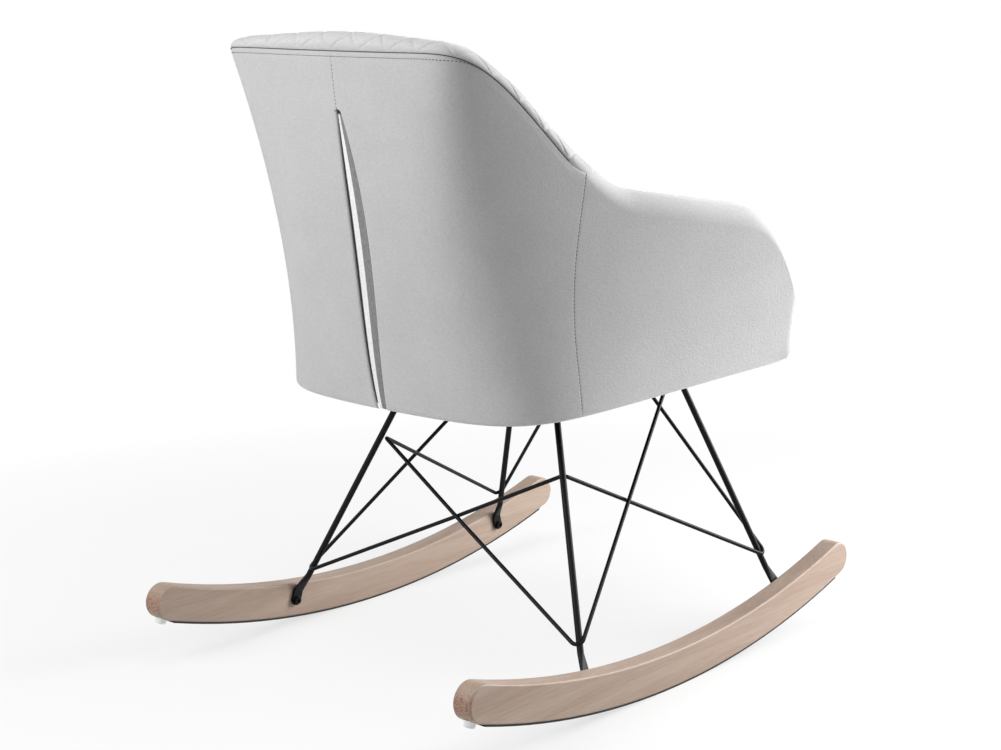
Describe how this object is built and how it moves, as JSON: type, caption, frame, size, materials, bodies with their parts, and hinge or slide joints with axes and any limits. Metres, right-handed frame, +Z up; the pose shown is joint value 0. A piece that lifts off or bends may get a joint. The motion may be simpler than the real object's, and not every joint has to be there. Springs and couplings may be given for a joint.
{
  "type": "upholstered rocking chair",
  "caption": "Tub rocking chair with grey velvet over a padded shell, a quilted back lining and a bent black wire base on curved beech rockers with rubber soles.",
  "frame": {"origin": "on the floor, midway between the rockers and midway along them, where the soles touch", "axes": "+Z up, the sitter faces -Y, +X is the sitter's left"},
  "size_m": [0.5882, 0.7498, 0.7751],
  "materials": {
    "beech": "clear matt lacquer",
    "rubber": "matt",
    "black_steel": "satin black powder coat",
    "clear_bumper": "translucent soft plastic",
    "black_bolt": "black oxide",
    "brass": "plain turned",
    "zinc": "bright zinc",
    "plywood": "raw plywood",
    "dust_cloth": "thin spun cloth",
    "shell_plastic": "moulded",
    "foam": "open-cell foam",
    "tape": "woven tape",
    "velvet": "short-pile velvet, light grey",
    "quilted_velvet": "short-pile velvet quilted in diamonds, light grey"
  },
  "bodies": {
    "root": {"rocker_left": "beech", "rocker_right": "beech", "grip_strip_left": "rubber", "grip_strip_right": "rubber", "rear_leg_left": "black_steel", "rear_leg_right": "black_steel", "front_leg_left": "black_steel", "front_leg_right": "black_steel", "brace_wire_left": "black_steel", "brace_wire_right": "black_steel", "arm_cover_left": "velvet", "arm_cover_right": "velvet", "back_panel_left": "velvet", "back_panel_right": "velvet", "end_bumpers": "clear_bumper", "foot_bolts": "black_bolt", "insert_nuts": "brass", "front_crossbar": "black_steel", "rear_crossbar": "black_steel", "seat_bolts": "black_bolt", "seat_washers": "zinc", "tee_nuts": "zinc", "seat_board": "plywood", "dust_cover": "dust_cloth", "moulded_shell": "shell_plastic", "wall_padding": "foam", "rim_padding": "foam", "slit_facing": "tape", "back_lining": "quilted_velvet", "seat_foam": "foam", "seat_cover": "velvet"}
  },
  "joints": []
}
